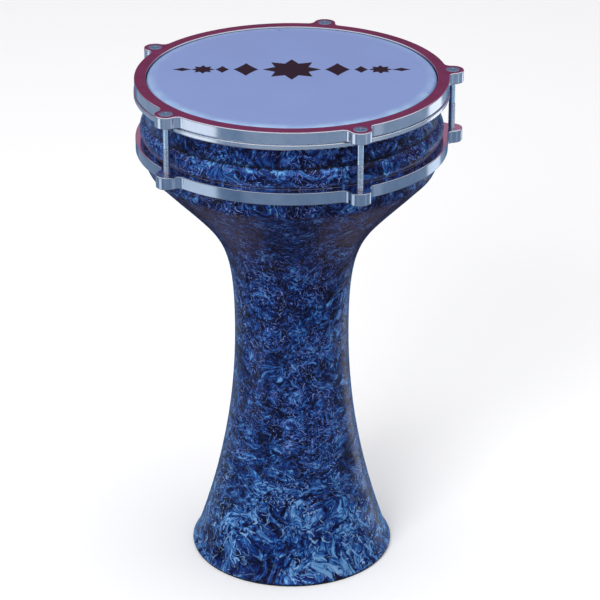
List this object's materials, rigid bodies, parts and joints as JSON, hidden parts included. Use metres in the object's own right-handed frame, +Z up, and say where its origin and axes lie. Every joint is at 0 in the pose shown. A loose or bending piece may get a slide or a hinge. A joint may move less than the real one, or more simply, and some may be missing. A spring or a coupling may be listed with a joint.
{
  "type": "darbuka",
  "caption": "Goblet drum with a pearl-inlaid cast body and a film head tensioned by countersunk screws between an eared hoop and a counter ring.",
  "frame": {"origin": "floor level at the centre of the foot, on the drum's axis", "axes": "+Z up along the drum's axis towards the head, -Y towards the viewer of the front, +X to the right"},
  "size_m": [0.2375, 0.2367, 0.38],
  "materials": {
    "pearl_inlay": "crushed blue mother-of-pearl flakes under clear gloss lacquer",
    "cast_metal": "cast aluminium, turned at the ring seat and bearing edge",
    "ring_metal": "polished aluminium",
    "hoop_metal": "polished aluminium, burgundy lacquer on the flat top",
    "channel_metal": "bright rolled aluminium",
    "head_film": "satin polyester drum film, periwinkle tint",
    "resin": "cast epoxy",
    "screw_steel": "bright zinc and nickel plated steel",
    "insert_steel": "machined steel",
    "rubber_ring": "matt black rubber"
  },
  "bodies": {
    "drum_body": {"shell": "cast_metal", "pearl_body": "pearl_inlay", "pearl_collar": "pearl_inlay", "foot_ring": "rubber_ring", "counter_ring": "ring_metal", "head_film": "head_film", "thread_insert_1": "insert_steel", "thread_insert_2": "insert_steel", "thread_insert_3": "insert_steel", "thread_insert_4": "insert_steel", "thread_insert_5": "insert_steel"},
    "hoop_body": {"tension_hoop": "hoop_metal", "head_ring": "channel_metal", "head_resin": "resin", "head_skirt": "head_film"},
    "screw_1": {"tension_screw_1": "screw_steel"},
    "screw_2": {"tension_screw_2": "screw_steel"},
    "screw_3": {"tension_screw_3": "screw_steel"},
    "screw_4": {"tension_screw_4": "screw_steel"},
    "screw_5": {"tension_screw_5": "screw_steel"}
  },
  "joints": [
    {"name": "hoop_travel", "type": "slide", "parent": "drum_body", "child": "hoop_body", "axis": [0, 0, 1], "range_m": [-0.0024, 0.0016]},
    {"name": "screw_1_turn", "type": "hinge", "parent": "hoop_body", "child": "screw_1", "pos_m": [0.11602, 0.01158, 0.38], "axis": [0, 0, 1], "range_deg": [-1080, 720]},
    {"name": "screw_2_turn", "type": "hinge", "parent": "hoop_body", "child": "screw_2", "pos_m": [0.02484, 0.11392, 0.38], "axis": [0, 0, 1], "range_deg": [-1080, 720]},
    {"name": "screw_3_turn", "type": "hinge", "parent": "hoop_body", "child": "screw_3", "pos_m": [-0.10067, 0.05883, 0.38], "axis": [0, 0, 1], "range_deg": [-1080, 720]},
    {"name": "screw_4_turn", "type": "hinge", "parent": "hoop_body", "child": "screw_4", "pos_m": [-0.08706, -0.07757, 0.38], "axis": [0, 0, 1], "range_deg": [-1080, 720]},
    {"name": "screw_5_turn", "type": "hinge", "parent": "hoop_body", "child": "screw_5", "pos_m": [0.04687, -0.10677, 0.38], "axis": [0, 0, 1], "range_deg": [-1080, 720]}
  ],
  "couplings": [
    {"joint": "screw_1_turn", "follows": "hoop_travel", "rad_per_m": 7854},
    {"joint": "screw_2_turn", "follows": "hoop_travel", "rad_per_m": 7854},
    {"joint": "screw_3_turn", "follows": "hoop_travel", "rad_per_m": 7854},
    {"joint": "screw_4_turn", "follows": "hoop_travel", "rad_per_m": 7854},
    {"joint": "screw_5_turn", "follows": "hoop_travel", "rad_per_m": 7854}
  ]
}
